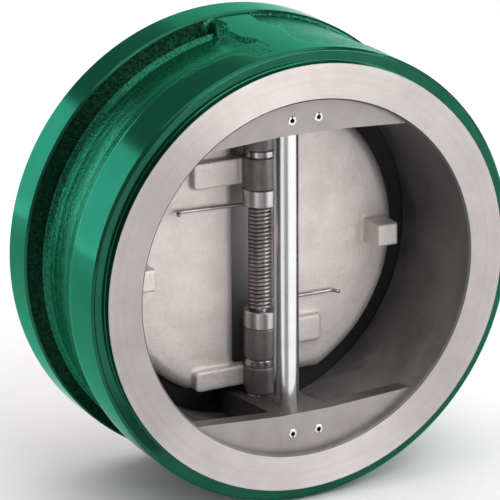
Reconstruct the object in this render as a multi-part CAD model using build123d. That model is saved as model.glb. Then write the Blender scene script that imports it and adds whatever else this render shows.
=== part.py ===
from build123d import *
import os
from math import cos, radians, sin, tan

# Dual-plate wafer check valve, nominal size 150 mm (6 in), short wafer pattern.
# Millimetres. The flow axis is Y: the outlet face looks along -Y and the inlet face along +Y.
# The hinge axis is vertical, along Z. The origin is the middle of the body on the flow axis.

# Body casting
face_to_face = 98.0
half_length = face_to_face / 2
raised_face_radius = 103.5
raised_face_height = 4.0
outlet_rim_radius = 109.9
inlet_rim_radius = 111.0
rim_chamfer = 0.8
outlet_rim_end_y = -20.0
inlet_rim_start_y = 26.6
waist_shoulder_radius = 105.4
waist_shoulder_y = -12.0
ridge_radius = 102.4
ridge_y = 17.0
groove_radius = 95.5
groove_start_y = 19.5
pad_left_x = -10.0
pad_right_x = 4.0

# Flow passage
bore_radius = 86.0
bore_mouth_chamfer = 1.0
shoulder_y = 17.0
relief_depth = 1.0
relief_width = 1.6
throat_radius = 69.0
throat_half_height = 63.5
inlet_bore_radius = 77.0
inlet_taper_start_y = 31.0
post_half_width = 15.0
post_nose_y = 40.0
post_nose_radius = 12.0

# Seat seal, bonded into the shoulder
seal_thickness = 3.0
seal_radius = 80.0
seal_half_height = 70.6

# Hinge pin and stop pin
hinge_y = 0.8
hinge_pin_radius = 3.75
stop_pin_y = -25.2
stop_pin_radius = 6.0
stop_pin_shoulder_z = 74.0
pin_end_z = 80.0
pin_chamfer = 0.6
pin_hole_end_z = 80.2
running_clearance = 0.03
lug_clearance = 0.05

# Pin retainers: a segment plate with a block behind it, cast with a small draft
retainer_fit = 0.05
retainer_front_y = -44.5
retainer_plate_thickness = 10.0
retainer_block_half_width = 14.0
retainer_block_end_y = 16.9
retainer_wing_angle = 3.5
upper_retainer_z = 69.8
upper_retainer_draft = 3.5
upper_spot_face_z = 73.4
lower_retainer_z = 67.0
lower_retainer_draft = 5.5
lower_spot_face_z = 72.2
spot_face_radius = 9.2

# Roll pins that lock the retainers
roll_pin_radius = 2.25
roll_pin_bore_radius = 1.15
roll_pin_slot = 0.6
roll_pin_chamfer = 0.35
roll_pin_stand = 0.4
roll_pin_fit = 0.01
roll_pin_x = 6.9
roll_pin_z = 76.8
roll_pin_hole_end_y = 27.0
roll_pin_end_y = 26.5

# Plates
plate_radius = 76.0
plate_face_y = 6.5
plate_seat_y = 16.8
plate_edge_x = 10.3
plate_half_height = 67.4
plate_corner_radius = 9.0
plate_edge_rounding = 6.0
knuckle_radius = 8.3
arm_face_y = 2.6
arm_back_y = 9.2
arm_end_x = 34.0
arm_corner_radius = 2.0
boss_inner_x = 59.4
boss_size = 10.9
boss_face_y = -7.9
boss_rounding = 1.0
left_boss_z = -3.0
right_boss_z = 0.0
# Each lug: knuckle bottom, knuckle top, arm bottom, arm top
left_lugs = [(31.8, 47.6, 34.0, 46.8), (-70.8, -57.1, -67.2, -57.4)]
right_lugs = [(-53.4, -37.7, -51.2, -38.2), (51.2, 69.0, 54.0, 66.6)]

# Rings on the hinge pin: bottom and top heights
spring_ring_radius = 8.4
spring_ring_heights = {"upper_spring_ring": (23.3, 31.7), "lower_spring_ring": (-37.6, -29.1)}
ring_chamfer = 0.4
lug_bearing_radius = 8.1
lug_bearing_heights = {
    "upper_plate_lug_bearing": (47.7, 51.1),
    "lower_plate_lug_bearing": (-57.0, -53.5),
    "upper_body_lug_bearing": (69.1, 73.3),
    "lower_body_lug_bearing": (-72.1, -70.9),
}

# Torsion spring
spring_bottom_z = -29.0
spring_top_z = 23.2
spring_outer_radius = 5.95
spring_wire_radius = 0.92
spring_wall = 1.2
spring_coils = 26
spring_leg_start_y = 5.7
spring_leg_end_y = 5.3
spring_leg_end_x = 40.0
spring_leg_rise = 1.6
spring_leg_bend = 2.0
spring_leg_gap = 0.2
spring_tip_x = 2.4
spring_tip_y = 5.6


def y_cylinder(radius, start, end):
    """A cylinder along Y."""
    return Pos(0, start, 0) * Rot(-90, 0, 0) * extrude(Circle(radius), end - start)


def z_cylinder(radius, bottom, top, y=0.0):
    """A cylinder along Z."""
    return Pos(0, y, bottom) * extrude(Circle(radius), top - bottom)


def block(x_range, y_range, z_range):
    """A box between low and high corners."""
    size = [high - low for low, high in (x_range, y_range, z_range)]
    low_corner = (x_range[0], y_range[0], z_range[0])
    return Pos(*low_corner) * Box(*size, align=(Align.MIN, Align.MIN, Align.MIN))


def revolved(points):
    """A ring turned about Y from (radius, y) points."""
    profile = make_face(Polyline(*[(radius, y, 0) for radius, y in points], close=True))
    return revolve(profile, Axis.Y)


def flat_sided_disc(radius, half_height, start, end):
    """A disc along Y with flats at the top and bottom."""
    disc = y_cylinder(radius, start, end)
    return disc & block((-radius, radius), (start, end), (-half_height, half_height))


def body():
    rim_face_y = half_length - raised_face_height
    shell = revolved(
        [
            (bore_radius, -half_length),
            (raised_face_radius, -half_length),
            (raised_face_radius, -rim_face_y),
            (outlet_rim_radius - rim_chamfer, -rim_face_y),
            (outlet_rim_radius, -rim_face_y + rim_chamfer),
            (outlet_rim_radius, outlet_rim_end_y),
            (waist_shoulder_radius, waist_shoulder_y),
            (ridge_radius, ridge_y),
            (groove_radius, groove_start_y),
            (groove_radius, inlet_rim_start_y),
            (inlet_rim_radius - rim_chamfer, inlet_rim_start_y),
            (inlet_rim_radius, inlet_rim_start_y + rim_chamfer),
            (inlet_rim_radius, rim_face_y - rim_chamfer),
            (inlet_rim_radius - rim_chamfer, rim_face_y),
            (raised_face_radius, rim_face_y),
            (raised_face_radius, half_length),
            (0, half_length),
            (0, shoulder_y),
            (bore_radius + relief_depth, shoulder_y),
            (bore_radius + relief_depth, shoulder_y - relief_width),
            (bore_radius, shoulder_y - relief_width),
        ]
    )
    mouth = revolved(
        [
            (0, -half_length),
            (bore_radius + bore_mouth_chamfer, -half_length),
            (bore_radius, -half_length + bore_mouth_chamfer),
            (0, -half_length + bore_mouth_chamfer),
        ]
    )
    pads = block(
        (pad_left_x, pad_right_x),
        (outlet_rim_end_y - 1, inlet_rim_start_y + 1),
        (-outlet_rim_radius, outlet_rim_radius),
    )
    pads &= y_cylinder(outlet_rim_radius, -half_length, half_length)
    pads -= y_cylinder(groove_radius - 2, -half_length, half_length)
    throat = flat_sided_disc(throat_radius, throat_half_height, shoulder_y, inlet_taper_start_y + 4)
    inlet_taper = revolved(
        [
            (0, inlet_taper_start_y),
            (throat_half_height, inlet_taper_start_y),
            (inlet_bore_radius, half_length - 3),
            (inlet_bore_radius, half_length),
            (0, half_length),
        ]
    )
    seal_pocket = flat_sided_disc(seal_radius, seal_half_height, shoulder_y, shoulder_y + seal_thickness)
    casting = shell - mouth + pads - throat - inlet_taper + centre_post() - seal_pocket
    for x, z in roll_pin_places():
        hole = y_cylinder(roll_pin_radius + roll_pin_fit, shoulder_y, roll_pin_hole_end_y)
        casting -= Pos(x, 0, z) * hole
    return casting


def centre_post():
    post = block(
        (-post_half_width, post_half_width),
        (shoulder_y + 1, post_nose_y),
        (-inlet_bore_radius, inlet_bore_radius),
    )
    nose_edges = post.edges().filter_by(Axis.Z).group_by(Axis.Y)[-1]
    post = fillet(nose_edges, post_nose_radius)
    return post & y_cylinder(inlet_bore_radius + 1, shoulder_y, post_nose_y)


def seat_seal():
    end_y = shoulder_y + seal_thickness
    pad = flat_sided_disc(seal_radius, seal_half_height, shoulder_y, end_y)
    ports = flat_sided_disc(throat_radius, throat_half_height, shoulder_y, end_y)
    ports -= block(
        (-post_half_width, post_half_width),
        (shoulder_y, end_y),
        (-throat_half_height, throat_half_height),
    )
    return pad - ports


def roll_pin_places():
    return [(x, z) for z in (roll_pin_z, -roll_pin_z) for x in (-roll_pin_x, roll_pin_x)]


def roll_pin(x, z):
    """A rolled spring pin, slotted on the side away from the flow axis."""
    whole_length = (-half_length, half_length)
    pin = y_cylinder(roll_pin_radius, retainer_front_y - roll_pin_stand, roll_pin_end_y)
    pin = chamfer(pin.edges(), roll_pin_chamfer)
    pin -= y_cylinder(roll_pin_bore_radius, *whole_length)
    slot = block((0, 2 * roll_pin_radius), whole_length, (-roll_pin_slot / 2, roll_pin_slot / 2))
    outward = -90 if z > 0 else 90
    return Pos(x, 0, z) * (pin - Rot(0, outward, 0) * slot)


def retainer(side, inner_z, draft_angle, spot_face_z):
    """The upper retainer has side 1, and the lower has side -1."""
    radius = bore_radius - retainer_fit
    plate = y_cylinder(radius, retainer_front_y, retainer_front_y + retainer_plate_thickness)
    tongue = block(
        (-retainer_block_half_width, retainer_block_half_width),
        (retainer_front_y, retainer_block_end_y),
        (-radius, radius),
    )
    tongue &= y_cylinder(radius, retainer_front_y, retainer_block_end_y)
    outline = plate + tongue
    wing_drop = (radius - retainer_block_half_width) * tan(radians(retainer_wing_angle))
    inner_edge = [
        (-radius, side * (inner_z - wing_drop)),
        (-retainer_block_half_width, side * inner_z),
        (retainer_block_half_width, side * inner_z),
        (radius, side * (inner_z - wing_drop)),
        (radius, -side * radius),
        (-radius, -side * radius),
    ]
    opening = make_face(Polyline(*[(x, retainer_front_y, z) for x, z in inner_edge], close=True))
    depth = retainer_block_end_y - retainer_front_y + 1
    draft = radians(draft_angle)
    opening = extrude(opening, depth / cos(draft), dir=(0, cos(draft), side * sin(draft)))
    piece = outline - opening
    keep = block((-radius, radius), (-half_length, half_length), (0, radius))
    piece &= keep if side > 0 else mirror(keep, Plane.XY)
    piece -= side_cylinder(side, spot_face_radius, spot_face_z, hinge_y)
    piece -= side_cylinder(side, hinge_pin_radius + running_clearance, pin_hole_end_z, hinge_y)
    seat_z = stop_pin_shoulder_z + retainer_fit
    piece -= side_cylinder(side, stop_pin_radius + running_clearance, seat_z, stop_pin_y)
    piece -= side_cylinder(side, hinge_pin_radius + running_clearance, pin_hole_end_z, stop_pin_y)
    for x in (-roll_pin_x, roll_pin_x):
        hole = y_cylinder(roll_pin_radius + roll_pin_fit, -half_length, half_length)
        piece -= Pos(x, 0, side * roll_pin_z) * hole
    return piece


def side_cylinder(side, radius, end_z, y):
    """A cylinder from the flow axis out to end_z, upward for side 1 and downward for side -1."""
    if side > 0:
        return z_cylinder(radius, 0, end_z, y)
    return z_cylinder(radius, -end_z, 0, y)


def hinge_pin():
    pin = z_cylinder(hinge_pin_radius, -pin_end_z, pin_end_z, hinge_y)
    return chamfer(pin.edges(), pin_chamfer)


def stop_pin():
    shank = z_cylinder(stop_pin_radius, -stop_pin_shoulder_z, stop_pin_shoulder_z, stop_pin_y)
    spigots = z_cylinder(hinge_pin_radius, -pin_end_z, pin_end_z, stop_pin_y)
    return shank + spigots


def plate(side, lugs, boss_z):
    """The left plate has side -1, and the right has side 1."""
    disc = flat_sided_disc(plate_radius, plate_half_height, plate_face_y, plate_seat_y)
    half = block((plate_edge_x, plate_radius), (plate_face_y, plate_seat_y), (-plate_radius, plate_radius))
    shape = disc & half
    corner_edges = shape.edges().filter_by(Axis.Y).group_by(Axis.X)[0]
    shape = fillet(corner_edges, plate_corner_radius)
    face_edges = shape.faces().sort_by(Axis.Y)[0].edges()
    shape = fillet(face_edges, plate_edge_rounding)
    shape = shape + boss(boss_z)
    for knuckle_bottom, knuckle_top, arm_bottom, arm_top in lugs:
        shape = shape + arm(arm_bottom, arm_top)
        shape = shape + z_cylinder(knuckle_radius, knuckle_bottom, knuckle_top, hinge_y)
    if side < 0:
        shape = mirror(shape, Plane.YZ)
    return shape - z_cylinder(hinge_pin_radius + lug_clearance, -plate_radius, plate_radius, hinge_y)


def boss(centre_z):
    post = block(
        (boss_inner_x, boss_inner_x + boss_size),
        (boss_face_y, plate_face_y + 2),
        (centre_z - boss_size / 2, centre_z + boss_size / 2),
    )
    front_edges = post.faces().sort_by(Axis.Y)[0].edges()
    return fillet(front_edges, boss_rounding)


def arm(bottom, top):
    bar = block((0, arm_end_x), (arm_face_y, arm_back_y), (bottom, top))
    end_edges = bar.edges().filter_by(Axis.Y).group_by(Axis.X)[-1]
    bar = fillet(end_edges, arm_corner_radius)
    return bar


def ring(radius, bottom, top):
    outer = z_cylinder(radius, bottom, top, hinge_y)
    outer = chamfer(outer.edges(), ring_chamfer)
    return outer - z_cylinder(hinge_pin_radius + running_clearance, bottom, top, hinge_y)


def torsion_spring():
    """Close coils as one beaded tube, with a straight leg from each end to its plate."""
    pitch = (spring_top_z - spring_bottom_z) / spring_coils
    mean_radius = spring_outer_radius - spring_wire_radius
    tube = z_cylinder(mean_radius + spring_wall / 2, spring_bottom_z, spring_top_z, hinge_y)
    tube -= z_cylinder(mean_radius - spring_wall / 2, spring_bottom_z, spring_top_z, hinge_y)
    for coil in range(spring_coils):
        height = spring_bottom_z + pitch * (coil + 0.5)
        tube = tube + Pos(0, hinge_y, height) * Torus(mean_radius, spring_wire_radius)
    upper_leg = spring_leg(spring_top_z - spring_wire_radius - spring_leg_gap)
    lower_leg = spring_leg(-(spring_bottom_z + spring_wire_radius + spring_leg_gap))
    return tube + mirror(upper_leg, Plane.YZ) + mirror(lower_leg, Plane.XY)


def spring_leg(height):
    """The leg of the upper end, turned to +X: out along the plate, then a short bent tip."""
    route = Polyline(
        (0, spring_leg_start_y, height),
        (spring_leg_end_x, spring_leg_end_y, height + spring_leg_rise),
        (spring_leg_end_x + spring_tip_x, spring_leg_end_y - spring_tip_y, height + spring_leg_rise),
    )
    route = fillet(route.vertices().sort_by(Axis.X)[1:2], spring_leg_bend)
    start = Plane(route @ 0, z_dir=route % 0)
    return sweep(start * Circle(spring_wire_radius), route)


def main():
    os.makedirs("parts", exist_ok=True)
    pieces = {
        "body": body(),
        "seat_seal": seat_seal(),
        "upper_retainer": retainer(1, upper_retainer_z, upper_retainer_draft, upper_spot_face_z),
        "lower_retainer": retainer(-1, lower_retainer_z, lower_retainer_draft, lower_spot_face_z),
        "hinge_pin": hinge_pin(),
        "stop_pin": stop_pin(),
        "left_plate": plate(-1, left_lugs, left_boss_z),
        "right_plate": plate(1, right_lugs, right_boss_z),
        "torsion_spring": torsion_spring(),
    }
    for name, (bottom, top) in spring_ring_heights.items():
        pieces[name] = ring(spring_ring_radius, bottom, top)
    for name, (bottom, top) in lug_bearing_heights.items():
        pieces[name] = ring(lug_bearing_radius, bottom, top)
    names = ["upper_left", "upper_right", "lower_left", "lower_right"]
    for name, (x, z) in zip(names, roll_pin_places()):
        pieces[name + "_roll_pin"] = roll_pin(x, z)
    for name, piece in pieces.items():
        export_step(piece, f"parts/{name}.step")


main()
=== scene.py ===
from math import cos, pi, radians, sin

import bpy
import numpy as np
from mathutils import Matrix, Vector


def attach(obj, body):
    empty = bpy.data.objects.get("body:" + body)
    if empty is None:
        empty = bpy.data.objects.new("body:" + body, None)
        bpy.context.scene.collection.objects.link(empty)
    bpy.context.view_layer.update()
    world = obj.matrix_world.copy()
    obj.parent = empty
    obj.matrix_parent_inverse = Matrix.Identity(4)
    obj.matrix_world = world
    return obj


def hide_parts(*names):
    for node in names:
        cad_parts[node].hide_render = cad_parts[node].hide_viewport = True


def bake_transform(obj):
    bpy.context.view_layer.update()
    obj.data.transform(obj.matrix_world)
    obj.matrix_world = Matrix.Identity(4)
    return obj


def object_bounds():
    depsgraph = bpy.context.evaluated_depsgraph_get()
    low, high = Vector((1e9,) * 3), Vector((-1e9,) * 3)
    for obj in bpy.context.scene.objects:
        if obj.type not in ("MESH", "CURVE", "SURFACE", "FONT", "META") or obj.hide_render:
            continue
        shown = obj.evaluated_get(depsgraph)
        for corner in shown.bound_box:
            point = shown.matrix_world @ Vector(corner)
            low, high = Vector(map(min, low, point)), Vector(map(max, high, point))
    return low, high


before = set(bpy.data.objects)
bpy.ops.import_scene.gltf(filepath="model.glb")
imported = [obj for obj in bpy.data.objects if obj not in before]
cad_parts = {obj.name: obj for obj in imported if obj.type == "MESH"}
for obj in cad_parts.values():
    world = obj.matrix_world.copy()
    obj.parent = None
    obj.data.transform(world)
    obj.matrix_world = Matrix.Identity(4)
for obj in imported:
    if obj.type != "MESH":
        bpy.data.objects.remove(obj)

# Lengths are millimetres until they reach Blender, where MM turns them into metres.
MM = 0.001
CAD_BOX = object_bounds()
ROOT = "root"
LEFT = "left_plate_body"
RIGHT = "right_plate_body"

# Camera: angles in degrees, distances in raised-face radii from the middle of the outlet face
RAISED_FACE_RADIUS = 103.5
OUTLET_FACE_Y = -49.0
CAMERA_AZIMUTH = -27.32
CAMERA_ELEVATION = 18.35
CAMERA_ROLL = -0.33
CAMERA_DISTANCE = 17.0
CAMERA_RIGHT = -0.2688
CAMERA_UP = 0.1358
LENS = 272.7

# Body outside, which the skin covers 0.1 mm proud of the CAD rims
OUTLET_RIM_RADIUS = 110.0
INLET_RIM_RADIUS = 111.1
END_RING_RADIUS = 103.6
END_RING_Y = 48.9
WAIST_START_Y = -40.0
FLANGE_Y = 26.2
SKIN_STEPS = 900
# Lumps of the cast skin are longer along the flow axis than round the body
SKIN_STRETCH = 0.75
# Height and size of the lumps on a casting, and of the ragged edge where turning meets the cast skin
SKIN_FINE_LUMPS = (0.014, 2.2)
SKIN_COARSE_LUMPS = (0.04, 9.0)
SKIN_RAGGED_EDGE = (0.25, 4.0)
PLATE_FINE_LUMPS = (0.035, 2.2)
PLATE_COARSE_LUMPS = (0.09, 9.0)
WAIST_Y = [-12.0, 2.0, 9.0, 15.0, 17.0, 18.4, 19.6, 26.0]
WAIST_RADIUS = [107.6, 104.9, 103.9, 103.7, 104.5, 105.6, 105.4, 105.2]
BAND_DROP = 2.4
PAD_RADIUS = 110.2
PAD_EDGE_SLOPE = 1.1
# The groove in front of the inlet flange: where each side falls away, along Y and by arc length from a pad
GROOVE_RADIUS = 96.2
GROOVE_FRONT_Y = (19.0, 20.9)
GROOVE_BACK_Y = (26.6, 25.6)
GROOVE_LEFT_X = (-10.5, -12.5)
GROOVE_RIGHT_X = (55.0, 90.0)
# Shallow recesses beside a pad
SHELF_RADIUS = 108.7
RIGHT_SHELF_START_X = (0.0, 6.0)
RIGHT_SHELF_END_X = (90.0, 50.0)
LEFT_SHELF_START_X = (-26.0, -17.0)
LEFT_SHELF_END_Y = (10.0, 3.0)
# The groove's own material, near-black as painted shade for the deep groove, starts where the skin is this
# far in
GROOVE_SHADE_RADIUS = 102.6
FLANGE_WALL_Y = (25.9, 26.3)
# The rib beside a pad
RIB_Y = (-4.0, 11.0, 21.5)
RIB_X = (-22.0, -16.0, -11.5)
RIB_TOP_Y = (-6.0, 4.0, 26.0)
RIB_TOP_RADIUS = (104.0, 107.2, 109.2)
RIB_HALF_WIDTH = 1.2
RIB_SIDE_SLOPE = 1.6
RIB_REACH = 4.0
# The plain CAD surface under the paint, which the skin never goes below
CAD_WAIST_Y = [-45.0, -20.0, -12.0, 17.0, 19.5, 26.6]
CAD_WAIST_RADIUS = [109.9, 109.9, 105.4, 102.4, 95.5, 95.5]
SKIN_GAP = 0.06
SKIN_INSIDE = [(101.9, 48.9), (101.9, 28.0), (94.2, 27.4), (94.2, 18.6), (100.5, 15.0), (101.9, -48.9)]
# Where the turned band ends, by arc length from a pad's middle
BAND_END_X = [-170, -60, -36, -29, -22, -10, 4, 12, 34, 80, 172]
BAND_END_Y = [-22.0, -21.0, -24.5, -26.0, -32.5, -33.0, -33.0, -34.0, -37.5, -34.0, -22.0]
# Edges of the pads, which stay at the full turned radius
PAD_LEFT_Y = [-34.0, -30.0, -22.0, -17.0, -8.0, 2.0, 13.0, 27.0]
PAD_LEFT_X = [-14.0, -10.3, -10.8, -11.4, -14.9, -14.7, -10.5, -10.4]
PAD_RIGHT_Y = [-36.0, -32.0, -25.0, -12.0, -4.6, 2.7, 10.0, 27.0]
PAD_RIGHT_X = [12.0, 4.7, 4.3, 7.2, 9.1, 6.2, 4.3, 7.6]

# Hinge and plates
HINGE_Y = 0.8
LUG_BORE_RADIUS = 3.82
CASTING_VOXEL = 0.6
CASTING_ROUNDING = 5

# Closing spring
SPRING_BOTTOM = -29.0
SPRING_TOP = 23.2
SPRING_COILS = 26
SPRING_WIRE_RADIUS = 0.92
SPRING_MEAN_RADIUS = 5.03
SPRING_LEG_X = 40.0
SPRING_LEG_Y = (5.83, 5.3)
SPRING_LEG_RISE = (1.6, -0.2)
SPRING_LEG_STEPS = 8
SPRING_TURN_STEPS = 24
SPRING_HOOK_RADIUS = 1.8
SPRING_HOOK_ANGLE = 68
SPRING_HOOK_STEPS = 6
SPRING_TIP = (1.2, 3.0)
SPRING_BLEND_MARGIN = 1.5

# Grey card in front of the stop pin: distances from the pin, and azimuths of its sides in degrees
STOP_PIN_Y = -25.2
FLAG_DISTANCES = (115.0, 900.0)
FLAG_AZIMUTHS = (-44.3, -8.3)
FLAG_LIFT = 0.5

# Floor, in metres
FLOOR_HALF_SIZE = 9.0
FLOOR_GAP = 0.0002


# ---------------------------------------------------------------- node materials


class Graph:
    """The nodes of one material, with places in millimetres in the frame of the CAD."""

    def __init__(self, name):
        self.material = bpy.data.materials.new(name)
        self.material.use_nodes = True
        self.tree = self.material.node_tree
        self.tree.nodes.clear()
        self.shader = self.node("ShaderNodeBsdfPrincipled")
        output = self.node("ShaderNodeOutputMaterial")
        self.tree.links.new(self.shader.outputs[0], output.inputs[0])
        coordinates = self.node("ShaderNodeTexCoord")
        self.place = self.vector("MULTIPLY", coordinates.outputs["Object"], (1 / MM,) * 3)
        split = self.node("ShaderNodeSeparateXYZ", {0: self.place})
        self.x, self.y, self.z = split.outputs

    def node(self, kind, inputs=None, **settings):
        made = self.tree.nodes.new(kind)
        for key, value in settings.items():
            setattr(made, key, value)
        for key, value in (inputs or {}).items():
            self.feed(made.inputs[key], value)
        return made

    def feed(self, socket, value):
        if isinstance(value, bpy.types.NodeSocket):
            self.tree.links.new(value, socket)
        else:
            socket.default_value = value

    def set(self, **values):
        """Feeds the shader's sockets: base_color=... sets Base Color."""
        for key, value in values.items():
            self.feed(self.shader.inputs[key.replace("_", " ").title()], value)

    def vector(self, operation, a, b=(0.0, 0.0, 0.0)):
        made = self.node("ShaderNodeVectorMath", {0: a, 1: b}, operation=operation)
        return made.outputs["Value"] if operation in ("LENGTH", "DOT_PRODUCT") else made.outputs[0]

    def math(self, operation, a, b=0.0):
        return self.node("ShaderNodeMath", {0: a, 1: b}, operation=operation).outputs[0]

    def combine(self, x, y, z):
        return self.node("ShaderNodeCombineXYZ", {0: x, 1: y, 2: z}).outputs[0]

    def noise(self, size, detail=3.0, roughness=0.55, place=None):
        """Noise whose lumps are about size millimetres across."""
        inputs = {"Vector": place or self.place, "Scale": 1 / size, "Detail": detail, "Roughness": roughness}
        return self.node("ShaderNodeTexNoise", inputs).outputs["Fac"]

    def spots(self, size, place=None):
        """Distance to the nearest of scattered points about size millimetres apart."""
        inputs = {"Vector": place or self.place, "Scale": 1 / size}
        return self.node("ShaderNodeTexVoronoi", inputs).outputs["Distance"]

    def fade(self, value, start, end, low=0.0, high=1.0):
        """Goes smoothly from low at start to high at end."""
        inputs = {0: value, 1: start, 2: end, 3: low, 4: high}
        return self.node("ShaderNodeMapRange", inputs, interpolation_type="SMOOTHSTEP").outputs[0]

    def mix(self, factor, a, b):
        made = self.node("ShaderNodeMix", data_type="RGBA")
        for socket, value in ((made.inputs[0], factor), (made.inputs[6], a), (made.inputs[7], b)):
            self.feed(socket, value)
        return made.outputs[2]

    def blend(self, factor, a, b):
        made = self.node("ShaderNodeMix", data_type="FLOAT")
        for socket, value in zip(made.inputs[:1] + made.inputs[2:4], (factor, a, b)):
            self.feed(socket, value)
        return made.outputs[0]

    def bump(self, height, depth, normal=None):
        """Raises the surface by up to depth millimetres where height goes from 0 to 1."""
        inputs = {"Height": height, "Distance": depth * MM, "Strength": 1.0}
        if normal is not None:
            inputs["Normal"] = normal
        return self.node("ShaderNodeBump", inputs).outputs[0]

    def radius(self):
        """Distance from the flow axis."""
        return self.vector("LENGTH", self.combine(self.x, 0.0, self.z))

    def hinge_distance(self):
        """Distance from the hinge axis."""
        return self.vector("LENGTH", self.combine(self.x, self.math("SUBTRACT", self.y, HINGE_Y), 0.0))


def grey(value, warmth=0.0):
    """A grey whose red is raised by warmth, and whose blue is a little lower."""
    return (value * (1 + warmth), value, value * (1 - warmth / 4), 1.0)


def body_metal():
    """Bare machined end faces, a dark coated bore with painted shade and painted light on it, and a dull
    inlet side.
    """
    g = Graph("body_metal")
    radius = g.radius()
    end = g.math("ABSOLUTE", g.y)
    face = g.fade(end, 48.9, 48.97)
    outlet_bore = g.math("MULTIPLY", g.fade(g.y, 16.9, 16.7), g.fade(radius, 87.9, 87.5))
    # Turning marks depend on the radius, and wander slowly round the face
    wander = g.noise(30.0, 2.0)
    groove_place = g.math("ADD", radius, g.math("MULTIPLY", wander, 0.5))
    fine = g.noise(0.35, 1.0, place=g.combine(groove_place, g.math("MULTIPLY", g.x, 0.01), 0.0))
    coarse = g.noise(2.2, 2.0, place=g.combine(groove_place, 0.0, 0.0))
    blotch = g.noise(14.0, 4.0, 0.6)
    specks = g.fade(g.spots(4.0), 0.05, 0.08)
    bright = g.mix(g.fade(blotch, 0.3, 0.7), grey(0.475, 0.10), grey(0.545, 0.09))
    bright = g.mix(g.math("MULTIPLY", g.fade(coarse, 0.35, 0.65), 0.5), bright, grey(0.425, 0.10))
    bright = g.mix(specks, grey(0.30, 0.05), bright)
    coat_tone = g.noise(20.0, 4.0, 0.6)
    bore_coat_and_shading = g.mix(g.fade(coat_tone, 0.3, 0.7), grey(0.12, 0.06), grey(0.165, 0.06))
    # Painted shade: the bore's coat is darkened towards the top and deeper in towards the shoulder.
    bore_coat_and_shading = g.mix(g.fade(g.z, -20.0, 60.0, 0.0, 0.6), bore_coat_and_shading, grey(0.035, 0.04))
    bore_coat_and_shading = g.mix(g.fade(g.y, -38.0, 10.0, 0.0, 0.4), bore_coat_and_shading, grey(0.035, 0.05))
    # Lighter scuff patches, partly wear and partly painted light: they are weighted towards the bottom so
    # the lower bore reads lighter.
    scuffs = g.fade(g.noise(30.0, 5.0, 0.65), 0.46, 0.62)
    scuffs_and_painted_light = g.math("MULTIPLY", scuffs, g.fade(g.z, 20.0, -50.0, 0.0, 0.55))
    bore_coat_and_shading = g.mix(scuffs_and_painted_light, bore_coat_and_shading, grey(0.20, 0.05))
    # Painted shadow: a near-black band round the bore where it meets the seat shoulder.
    shoulder_shadow_band = g.math("MULTIPLY", g.fade(g.y, 15.2, 15.5), g.fade(g.y, 17.6, 17.3))
    dull = g.mix(g.fade(coat_tone, 0.3, 0.7), grey(0.10, 0.04), grey(0.16, 0.04))
    inside = g.mix(shoulder_shadow_band, g.mix(outlet_bore, dull, bore_coat_and_shading), grey(0.018, 0.03))
    g.set(base_color=g.mix(face, inside, bright))
    g.set(metallic=g.blend(face, 0.35, 0.88))
    tooth = g.math("ADD", g.math("MULTIPLY", fine, 0.12), 0.34)
    g.set(roughness=g.blend(face, g.fade(coat_tone, 0.3, 0.7, 0.42, 0.55), tooth))
    cast = g.bump(g.noise(1.6, 3.0), 0.05)
    turned = g.bump(fine, 0.006)
    normal = g.node("ShaderNodeMix", data_type="VECTOR")
    for socket, value in ((normal.inputs[0], face), (normal.inputs[4], cast), (normal.inputs[5], turned)):
        g.feed(socket, value)
    g.set(normal=normal.outputs[1])
    g.set(anisotropic=0.9)
    g.set(anisotropic_rotation=0.25)
    around = g.node("ShaderNodeTangent", direction_type="RADIAL", axis="Y")
    g.set(tangent=around.outputs[0])
    return g.material


def body_enamel():
    """Gloss green enamel, smooth over turned metal and pebbled over the cast skin."""
    g = Graph("body_enamel")
    cast = g.node("ShaderNodeAttribute", attribute_name="cast").outputs["Fac"]
    tone = g.noise(24.0, 3.0)
    drawn = g.vector("MULTIPLY", g.place, (1.0, SKIN_STRETCH, 1.0))
    pebbles = g.noise(1.0, 3.0, 0.55, drawn)
    grains = g.fade(g.spots(1.3, drawn), 0.15, 0.55, 1.0, 0.0)
    green = g.mix(g.fade(tone, 0.3, 0.7), (0.013, 0.086, 0.051, 1), (0.017, 0.104, 0.063, 1))
    rough_green = g.mix(g.fade(pebbles, 0.38, 0.62), (0.005, 0.060, 0.029, 1), (0.018, 0.130, 0.080, 1))
    g.set(base_color=g.mix(cast, green, rough_green))
    g.set(metallic=0.85)
    g.set(specular_tint=(0.22, 1.0, 0.70, 1.0))
    g.set(roughness=g.blend(cast, 0.13, g.fade(pebbles, 0.3, 0.7, 0.26, 0.16)))
    pebbled = g.math("ADD", g.math("MULTIPLY", pebbles, 0.6), g.math("MULTIPLY", grains, 0.4))
    brushed = g.noise(1.1, 1.0, place=g.combine(g.y, 0.0, 0.0))
    g.set(normal=g.bump(g.math("MULTIPLY", pebbled, cast), 0.14, g.bump(brushed, 0.003)))
    return g.material


def shaded_groove_enamel():
    """Dull near-black enamel down in the groove and on the flange wall behind it: painted shade for the deep
    groove.
    """
    g = Graph("shaded_groove_enamel")
    pebbles = g.noise(1.5, 3.0, 0.6)
    tone = g.fade(pebbles, 0.35, 0.65)
    g.set(base_color=g.mix(tone, (0.002, 0.011, 0.004, 1), (0.004, 0.030, 0.014, 1)))
    g.set(metallic=0.85)
    g.set(specular_tint=(0.22, 1.0, 0.70, 1.0))
    g.set(roughness=g.fade(pebbles, 0.3, 0.7, 0.5, 0.3))
    g.set(normal=g.bump(pebbles, 0.5))
    return g.material


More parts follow.
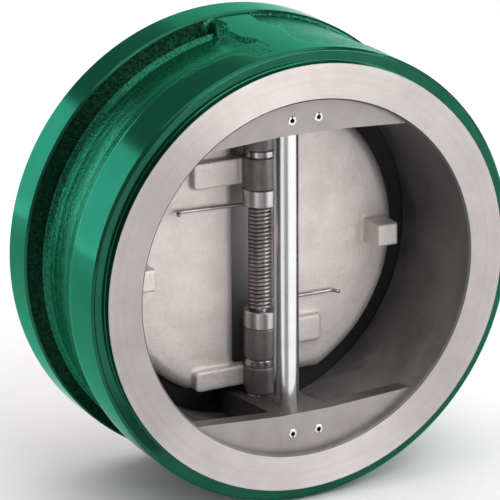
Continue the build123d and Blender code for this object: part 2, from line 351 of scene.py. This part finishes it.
def cast_plate():
    """Blasted stainless casting, darker on the lug knuckles round the hinge axis."""
    g = Graph("cast_plate")
    sand = g.noise(0.8, 4.0, 0.6)
    cloud = g.noise(13.0, 5.0, 0.6)
    stain = g.noise(40.0, 2.0)
    light = g.mix(g.fade(cloud, 0.25, 0.75), (0.74, 0.685, 0.66, 1), (0.82, 0.77, 0.745, 1))
    light = g.mix(g.math("MULTIPLY", g.fade(sand, 0.50, 0.70), 0.45), light, (0.52, 0.47, 0.45, 1))
    light = g.mix(g.math("MULTIPLY", g.fade(stain, 0.5, 0.75), 0.15), light, (0.66, 0.60, 0.56, 1))
    lug = g.fade(g.hinge_distance(), 9.8, 8.7)
    dark = g.mix(g.fade(cloud, 0.3, 0.7), grey(0.20, 0.05), grey(0.28, 0.05))
    g.set(base_color=g.mix(lug, light, dark))
    g.set(metallic=0.6)
    g.set(roughness=g.blend(lug, g.fade(cloud, 0.3, 0.7, 0.56, 0.46), 0.4))
    g.set(normal=g.bump(sand, 0.16, g.bump(cloud, 0.25)))
    return g.material


def machined(name, low, high, roughness, turned_along="Z", grain=0.5, depth=0.01, metallic=1.0):
    """Machined steel with fine lines round an axis and a slow change of tone."""
    g = Graph(name)
    along = {"X": g.x, "Y": g.y, "Z": g.z}[turned_along]
    lines = g.noise(grain, 2.0, place=g.combine(along, 0.0, 0.0))
    tone = g.noise(9.0, 3.0)
    g.set(base_color=g.mix(g.fade(tone, 0.3, 0.7), low, high))
    g.set(metallic=metallic)
    g.set(roughness=g.fade(lines, 0.3, 0.7, roughness * 0.85, roughness * 1.15))
    g.set(normal=g.bump(lines, depth))
    return g.material


def retainer_metal(name):
    """Milled retainer: even grey front faces, and painted shade making every face behind the front darker
    and brownish.
    """
    g = Graph(name)
    front = g.fade(g.y, -44.2, -44.4)
    tone = g.noise(12.0, 4.0, 0.6)
    mill = g.noise(0.6, 2.0, place=g.combine(g.math("MULTIPLY", g.x, 0.05), g.y, g.z))
    face = g.mix(g.fade(tone, 0.3, 0.7), grey(0.28, 0.08), grey(0.335, 0.08))
    # Painted shade: every face behind the front face is darker.
    inner = g.mix(g.fade(tone, 0.3, 0.7), grey(0.10, 0.07), grey(0.14, 0.07))
    g.set(base_color=g.mix(front, inner, face))
    g.set(metallic=0.6)
    g.set(roughness=g.fade(tone, 0.3, 0.7, 0.42, 0.52))
    g.set(normal=g.bump(mill, 0.012))
    return g.material


def rubber():
    """Black rubber, dusty grey on the centre post, with painted shade making the post darker towards its
    foot.
    """
    g = Graph("seal_rubber")
    tone = g.noise(3.0, 4.0)
    post = g.fade(g.math("ABSOLUTE", g.x), 19.0, 16.0)
    # Painted shade: the grey of the post fades towards black at the bottom.
    middle = g.math("MULTIPLY", post, g.fade(g.z, -50.0, 20.0, 0.2, 1.0))
    black = g.mix(tone, grey(0.012), grey(0.03))
    dusty = g.mix(tone, grey(0.30, 0.04), grey(0.38, 0.04))
    g.set(base_color=g.mix(middle, black, dusty))
    g.set(roughness=g.fade(tone, 0.3, 0.7, 0.5, 0.6))
    g.set(normal=g.bump(tone, 0.03))
    return g.material


def dress_cad_nodes():
    """Gives every CAD node that stays visible its own material."""
    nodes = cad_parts
    looks = {
        "body": body_metal(),
        "seat_seal": rubber(),
        "hinge_pin": machined("hinge_pin_steel", grey(0.5), grey(0.6), 0.3),
        "stop_pin": machined("stop_pin_steel", grey(0.78, 0.01), grey(0.84, 0.01), 0.23, depth=0.002),
        "upper_retainer": retainer_metal("upper_retainer_steel"),
        "lower_retainer": retainer_metal("lower_retainer_steel"),
    }
    ring = machined("ring_steel", grey(0.62, 0.03), grey(0.72, 0.03), 0.34, depth=0.004)
    bearing = machined("bearing_steel", grey(0.5, 0.02), grey(0.6, 0.02), 0.25, depth=0.004)
    roll_pin = machined("roll_pin_steel", grey(0.75, 0.03), grey(0.82, 0.03), 0.3, "Y")
    shared = {"spring_ring": ring, "lug_bearing": bearing, "roll_pin": roll_pin}
    for name in nodes:
        for ending, look in shared.items():
            if name.endswith(ending):
                looks[name] = look
    for name, look in looks.items():
        materials = nodes[name].data.materials
        materials.clear()
        materials.append(look)


# ---------------------------------------------------------------- mesh pieces


def mesh_piece(name, points, faces, look):
    """A smooth-shaded mesh from points in millimetres."""
    mesh = bpy.data.meshes.new(name)
    mesh.from_pydata([tuple(p) for p in np.asarray(points) * MM], [], faces)
    mesh.polygons.foreach_set("use_smooth", [True] * len(mesh.polygons))
    mesh.materials.append(look)
    piece = bpy.data.objects.new(name, mesh)
    bpy.context.scene.collection.objects.link(piece)
    return piece


def random_lumps(points, height, size, seed, waves=48):
    """A smooth random field over 3-D points, about -height to height, with lumps of that size."""
    random = np.random.default_rng(seed)
    directions = random.normal(size=(waves, 3))
    directions /= np.linalg.norm(directions, axis=1)[:, None]
    lengths = size * 2 * np.exp(random.uniform(-0.35, 0.35, waves))
    phases = random.uniform(0, 2 * pi, waves)
    total = np.zeros(points.shape[:-1])
    for direction, length, phase in zip(directions, lengths, phases):
        total += np.sin(points @ direction * (2 * pi / length) + phase)
    return height * (total / np.sqrt(waves / 2) / 2)


def smooth_step(value, start, end):
    """Goes smoothly from 0 at start to 1 at end."""
    t = np.clip((value - start) / (end - start), 0, 1)
    return t * t * (3 - 2 * t)


def skin_columns():
    """(radius, y) points along the outside of the body, from the outlet face to the inlet face.

    Each corner has the spacing of the points that follow it. The cast waist lies between the two
    rims, and the radius there is replaced later.
    """
    corners = [
        (END_RING_RADIUS, -END_RING_Y, 0.5),
        (END_RING_RADIUS, -45.15, 0.8),
        (109.0, -45.1, 0.3),
        (OUTLET_RIM_RADIUS, -44.1, 0.6),
        (OUTLET_RIM_RADIUS, WAIST_START_Y, 0.55),
        (OUTLET_RIM_RADIUS, FLANGE_Y, 0.3),
        (INLET_RIM_RADIUS, 27.3, 0.4),
        (INLET_RIM_RADIUS, 44.1, 0.6),
        (110.1, 45.1, 0.8),
        (END_RING_RADIUS, 45.15, 1.0),
        (END_RING_RADIUS, END_RING_Y, 1.0),
    ]
    points = []
    for (r0, y0, step), (r1, y1, _) in zip(corners, corners[1:]):
        count = max(1, round(float(np.hypot(r1 - r0, y1 - y0)) / step))
        for k in range(count):
            points.append((r0 + (r1 - r0) * k / count, y0 + (y1 - y0) * k / count))
    points.append(corners[-1][:2])
    return np.array(points)


def shelf_share(x, y):
    """1 in the shallow rough recesses on either side of a pad."""
    right_shelf = smooth_step(x, *RIGHT_SHELF_START_X) * smooth_step(x, *RIGHT_SHELF_END_X)
    left_shelf = smooth_step(x, *LEFT_SHELF_START_X) * smooth_step(y, *LEFT_SHELF_END_Y)
    return np.maximum(right_shelf, left_shelf)


def waist_radius(x, y):
    """Radius of the cast waist at arc length x from the middle of a pad, before lumps and turning."""
    band_end = np.interp(x, BAND_END_X, BAND_END_Y)
    slope = np.interp(y, WAIST_Y, WAIST_RADIUS)
    front = OUTLET_RIM_RADIUS - BAND_DROP * (y - band_end) / (WAIST_Y[0] - band_end)
    radius = np.where(y < WAIST_Y[0], front, slope)
    # The groove in front of the inlet rim stops at the pads and their shelves
    grooved = np.maximum(smooth_step(x, *GROOVE_LEFT_X), smooth_step(x, *GROOVE_RIGHT_X))
    groove = smooth_step(y, *GROOVE_FRONT_Y) * smooth_step(y, *GROOVE_BACK_Y)
    radius = radius - groove * grooved * (radius - GROOVE_RADIUS)
    shelf = shelf_share(x, y)
    radius = radius + shelf * (SHELF_RADIUS - radius)
    # A short rib closes the groove on one side of the pad
    aside = np.abs(x - np.interp(y, RIB_Y, RIB_X))
    rib_top = np.interp(y, RIB_TOP_Y, RIB_TOP_RADIUS)
    rib = rib_top - RIB_SIDE_SLOPE * np.maximum(aside - RIB_HALF_WIDTH, 0)
    radius = np.where((y > RIB_TOP_Y[0]) & (aside < RIB_REACH), np.maximum(radius, rib), radius)
    # The pad itself stands above the turned radius
    left_edge = np.interp(y, PAD_LEFT_Y, PAD_LEFT_X)
    right_edge = np.interp(y, PAD_RIGHT_Y, PAD_RIGHT_X)
    into_pad = np.minimum(x - left_edge, right_edge - x)
    return np.maximum(radius, PAD_RADIUS + PAD_EDGE_SLOPE * into_pad)


def body_skin():
    """The painted outside of the body: turned rims, cast waist, and the pads at top and bottom."""
    columns = skin_columns()
    angle = np.linspace(-pi, pi, SKIN_STEPS, endpoint=False)[:, None]
    sine, cosine = np.sin(angle), np.cos(angle)
    angle, radius, y = np.broadcast_arrays(angle, columns[:, 0], columns[:, 1])
    # Arc length from the nearer pad, at the top or at the bottom
    turn = np.where(np.abs(angle) < pi / 2, angle, np.where(angle > 0, pi - angle, -pi - angle))
    arc = OUTLET_RIM_RADIUS * turn
    base = np.stack([radius * sine, y, radius * cosine], axis=-1)
    drawn = base * (1.0, SKIN_STRETCH, 1.0)
    lumps = random_lumps(drawn, *SKIN_FINE_LUMPS, 11) + random_lumps(drawn, *SKIN_COARSE_LUMPS, 12)
    ragged = random_lumps(base, *SKIN_RAGGED_EDGE, 13)
    cast_radius = waist_radius(arc, y) + lumps
    in_waist = (y > WAIST_START_Y) & (y < FLANGE_Y - 0.1)
    # Roughness is 0 where the skin was turned down to the rim's radius
    rough = np.where(in_waist, smooth_step(OUTLET_RIM_RADIUS - cast_radius - ragged, -0.1, 0.5), 0.0)
    rough = rough * (1 + 0.6 * shelf_share(arc, y) + smooth_step(y, 12.0, 19.0))
    lowest = np.interp(y, CAD_WAIST_Y, CAD_WAIST_RADIUS) + SKIN_GAP
    made_radius = np.where(in_waist, np.clip(cast_radius, lowest, OUTLET_RIM_RADIUS), radius)
    outer = np.stack([made_radius * sine, y, made_radius * cosine], axis=-1)
    inner_radius, inner_y = np.array(SKIN_INSIDE).T
    inner = np.stack(np.broadcast_arrays(inner_radius * sine, inner_y, inner_radius * cosine), axis=-1)
    grid = np.concatenate([outer, inner], axis=1)
    rows, count = grid.shape[:2]
    index = np.arange(rows * count).reshape(rows, count)
    next_row = np.roll(index, -1, axis=0)
    next_column = np.roll(index, -1, axis=1)
    corner = np.roll(next_row, -1, axis=1)
    faces = np.stack([index, next_column, corner, next_row], axis=-1).reshape(-1, 4).tolist()
    piece = mesh_piece("body_enamel_skin", grid.reshape(-1, 3), faces, body_enamel())
    cast = np.zeros((rows, count), np.float32)
    cast[:, : len(columns)] = rough
    attribute = piece.data.attributes.new("cast", "FLOAT", "POINT")
    attribute.data.foreach_set("value", cast.ravel())
    piece.data.materials.append(shaded_groove_enamel())
    # The groove and the flange wall behind it take the near-black material, painted shade for the deep
    # groove.
    flange_wall = (y > FLANGE_WALL_Y[0]) & (y < FLANGE_WALL_Y[1])
    shaded_groove_faces = np.zeros((rows, count), np.int32)
    shaded_groove_faces[:, : len(columns)] = flange_wall | (in_waist & (made_radius < GROOVE_SHADE_RADIUS))
    piece.data.polygons.foreach_set("material_index", shaded_groove_faces.ravel())
    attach(piece, ROOT)


def casting(name, node, body, look):
    """A CAD node's shape with the soft corners and slight unevenness of a sand casting."""
    piece = bpy.data.objects.new(name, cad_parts[node].data.copy())
    bpy.context.scene.collection.objects.link(piece)
    remesh = piece.modifiers.new("remesh", "REMESH")
    remesh.mode = "VOXEL"
    remesh.voxel_size = CASTING_VOXEL * MM
    soften = piece.modifiers.new("soften", "SMOOTH")
    soften.factor = 0.5
    soften.iterations = CASTING_ROUNDING
    evaluated = piece.evaluated_get(bpy.context.evaluated_depsgraph_get())
    mesh = bpy.data.meshes.new_from_object(evaluated)
    piece.modifiers.clear()
    piece.data = mesh
    mesh.name = name
    flat = np.zeros(len(mesh.vertices) * 3)
    mesh.vertices.foreach_get("co", flat)
    points = flat.reshape(-1, 3) / MM
    mesh.vertices.foreach_get("normal", flat)
    normals = flat.reshape(-1, 3).copy()
    lumps = random_lumps(points, *PLATE_FINE_LUMPS, 21) + random_lumps(points, *PLATE_COARSE_LUMPS, 22)
    points = points + normals * lumps[:, None]
    # The bore for the hinge pin stays round
    across = points[:, :2] - (0.0, HINGE_Y)
    distance = np.linalg.norm(across, axis=1)
    bore = distance < LUG_BORE_RADIUS + 1.0
    points[bore, :2] = (0.0, HINGE_Y) + across[bore] * (LUG_BORE_RADIUS / distance[bore])[:, None]
    mesh.vertices.foreach_set("co", (points * MM).ravel())
    mesh.polygons.foreach_set("use_smooth", [True] * len(mesh.polygons))
    mesh.materials.clear()
    mesh.materials.append(look)
    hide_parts(node)
    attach(piece, body)


def tube(path, radius, sides=10):
    """Points and faces of a closed round tube along a path."""
    path = np.asarray(path, float)
    tangents = np.gradient(path, axis=0)
    tangents /= np.linalg.norm(tangents, axis=1)[:, None]
    normal = np.cross(tangents[0], (0.0, 0.0, 1.0))
    points = []
    for place, tangent in zip(path, tangents):
        normal = normal - tangent * (normal @ tangent)
        normal /= np.linalg.norm(normal)
        across = np.cross(tangent, normal)
        for k in range(sides):
            turn = 2 * pi * k / sides
            points.append(place + radius * (cos(turn) * normal + sin(turn) * across))
    faces = []
    for ring in range(len(path) - 1):
        for k in range(sides):
            a = ring * sides + k
            b = ring * sides + (k + 1) % sides
            faces.append((a, b, b + sides, a + sides))
    faces.append(tuple(reversed(range(sides))))
    last = (len(path) - 1) * sides
    faces.append(tuple(range(last, last + sides)))
    return points, faces


def spring_half(name, side, look):
    """Half of the closing spring, with side 1 for the upper half and its left leg.

    Side -1 is the lower half and its right leg.
    """
    middle = (SPRING_TOP + SPRING_BOTTOM) / 2
    end = SPRING_TOP - SPRING_WIRE_RADIUS if side > 0 else SPRING_BOTTOM + SPRING_WIRE_RADIUS
    path = []
    turns = SPRING_COILS / 2
    count = int(turns * SPRING_TURN_STEPS)
    for k in range(count + 1):
        t = k / count
        turn = pi / 2 - side * 2 * pi * turns * (1 - t)
        height = middle + (end - middle) * t
        path.append((SPRING_MEAN_RADIUS * cos(turn), HINGE_Y + SPRING_MEAN_RADIUS * sin(turn), height))
    start_y, end_y = SPRING_LEG_Y
    rise = SPRING_LEG_RISE[0 if side > 0 else 1]
    for k in range(1, SPRING_LEG_STEPS + 1):
        t = k / SPRING_LEG_STEPS
        path.append((-side * SPRING_LEG_X * t, start_y + (end_y - start_y) * t, end + side * rise * t))
    x, y, z = path[-1]
    for k in range(1, SPRING_HOOK_STEPS + 1):
        turn = k / SPRING_HOOK_STEPS * radians(SPRING_HOOK_ANGLE)
        path.append((x - side * SPRING_HOOK_RADIUS * sin(turn), y - SPRING_HOOK_RADIUS * (1 - cos(turn)), z))
    x, y, z = path[-1]
    path.append((x - side * SPRING_TIP[0], y - SPRING_TIP[1], z))
    points, faces = tube(path, SPRING_WIRE_RADIUS)
    return mesh_piece(name, points, faces, look)


def spring():
    """The closing spring, built in two halves in place of the CAD spring."""
    look = machined("spring_wire", grey(0.36, 0.08), grey(0.5, 0.08), 0.34, "Z", 6.0, 0.0)
    for name, side, plate, end in (
        ("upper_spring_half", 1, LEFT, SPRING_TOP - SPRING_BLEND_MARGIN),
        ("lower_spring_half", -1, RIGHT, SPRING_BOTTOM + SPRING_BLEND_MARGIN),
    ):
        half = spring_half(name, side, look)
        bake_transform(half)
        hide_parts("torsion_spring")


# ---------------------------------------------------------------- studio


def area_light(name, place, target, size, power, colour=(1, 1, 1)):
    """A rectangular light at place that faces target, in metres and watts."""
    light = bpy.data.lights.new(name, "AREA")
    light.shape = "RECTANGLE"
    light.size, light.size_y = size
    light.energy = power
    light.color = colour
    lamp = bpy.data.objects.new(name, light)
    lamp.location = place
    lamp.rotation_euler = (Vector(target) - Vector(place)).to_track_quat("-Z", "Y").to_euler()
    lamp.visible_camera = False
    bpy.context.scene.collection.objects.link(lamp)


def stage_card(name, corners, look_name, lump, dark, light, roughness):
    """A four-cornered piece of the stage, with its corners in metres and a slow change of tone."""
    mesh = bpy.data.meshes.new(name)
    mesh.from_pydata(corners, [], [(0, 1, 2, 3)])
    card = bpy.data.objects.new(name, mesh)
    bpy.context.scene.collection.objects.link(card)
    g = Graph(look_name)
    g.set(base_color=g.mix(g.noise(lump), grey(dark), grey(light)))
    g.set(roughness=roughness)
    mesh.materials.append(g.material)
    return card


def flag():
    """A grey card on the floor in front, seen only as the dark stripe it leaves in polished steel."""
    near, far = FLAG_DISTANCES
    height = CAD_BOX[0].z / MM + FLAG_LIFT
    corners = []
    for distance, angles in ((near, FLAG_AZIMUTHS), (far, FLAG_AZIMUTHS[::-1])):
        for azimuth in angles:
            turn = radians(azimuth)
            place = Vector((sin(turn) * distance, STOP_PIN_Y - cos(turn) * distance, height))
            corners.append(place * MM)
    card = stage_card("flag", corners, "grey_card", 90.0, 0.20, 0.24, 0.9)
    card.visible_camera = False
    card.visible_diffuse = False
    card.visible_shadow = False


def studio():
    """White surroundings, soft lights, a pale floor and the grey card."""
    world = bpy.data.worlds.new("studio")
    bpy.context.scene.world = world
    world.use_nodes = True
    background = world.node_tree.nodes["Background"]
    background.inputs["Color"].default_value = (1.0, 1.0, 1.0, 1)
    background.inputs["Strength"].default_value = 0.35
    area_light("overhead_softbox", (0.0, 0.3, 2.2), (0, 0.3, 0), (3.0, 3.0), 38)
    area_light("front_softbox", (0.2, -1.5, 1.7), (0, 0, 0), (1.6, 1.0), 18)
    area_light("right_softbox", (1.9, -0.7, 0.8), (0, 0, 0), (0.9, 1.4), 15)
    area_light("low_front_panel", (0.9, -2.0, 0.35), (0, 0, 0), (1.2, 0.6), 9.5)
    area_light("back_left_panel", (-0.55, 0.95, 0.2), (0, 0, 0.2), (0.9, 0.6), 4.2, (1.0, 0.82, 0.93))
    area_light("back_right_panel", (0.9, 1.6, 0.45), (0, 0, 0.1), (1.8, 1.1), 3.4)
    floor_z = CAD_BOX[0].z - FLOOR_GAP
    signs = ((-1, -1), (1, -1), (1, 1), (-1, 1))
    corners = [(sx * FLOOR_HALF_SIZE, sy * FLOOR_HALF_SIZE, floor_z) for sx, sy in signs]
    floor = stage_card("floor", corners, "pale_floor", 400.0, 0.86, 0.88, 0.8)
    flag()
    bpy.context.scene.view_settings.view_transform = "Standard"


def camera():
    """The camera at the photograph's viewing angle."""
    azimuth, elevation, roll = (radians(v) for v in (CAMERA_AZIMUTH, CAMERA_ELEVATION, CAMERA_ROLL))
    back = Vector((sin(azimuth) * cos(elevation), -cos(azimuth) * cos(elevation), sin(elevation)))
    right = (-back).cross(Vector((0, 0, 1))).normalized()
    up = right.cross(-back)
    offset = back * CAMERA_DISTANCE + right * CAMERA_RIGHT + up * CAMERA_UP
    place = Vector((0, OUTLET_FACE_Y, 0)) * MM + offset * RAISED_FACE_RADIUS * MM
    rolled_right = right * cos(roll) + up * sin(roll)
    rolled_up = up * cos(roll) - right * sin(roll)
    data = bpy.data.cameras.new("camera")
    data.lens = LENS
    data.clip_start, data.clip_end = 0.05, 50
    made = bpy.data.objects.new("camera", data)
    axes = Matrix((rolled_right, rolled_up, back)).transposed()
    made.matrix_world = Matrix.Translation(place) @ axes.to_4x4()
    bpy.context.scene.collection.objects.link(made)
    bpy.context.scene.camera = made


dress_cad_nodes()
body_skin()
plate_look = cast_plate()
casting("left_plate_casting", "left_plate", LEFT, plate_look)
casting("right_plate_casting", "right_plate", RIGHT, plate_look)
spring()
studio()
camera()
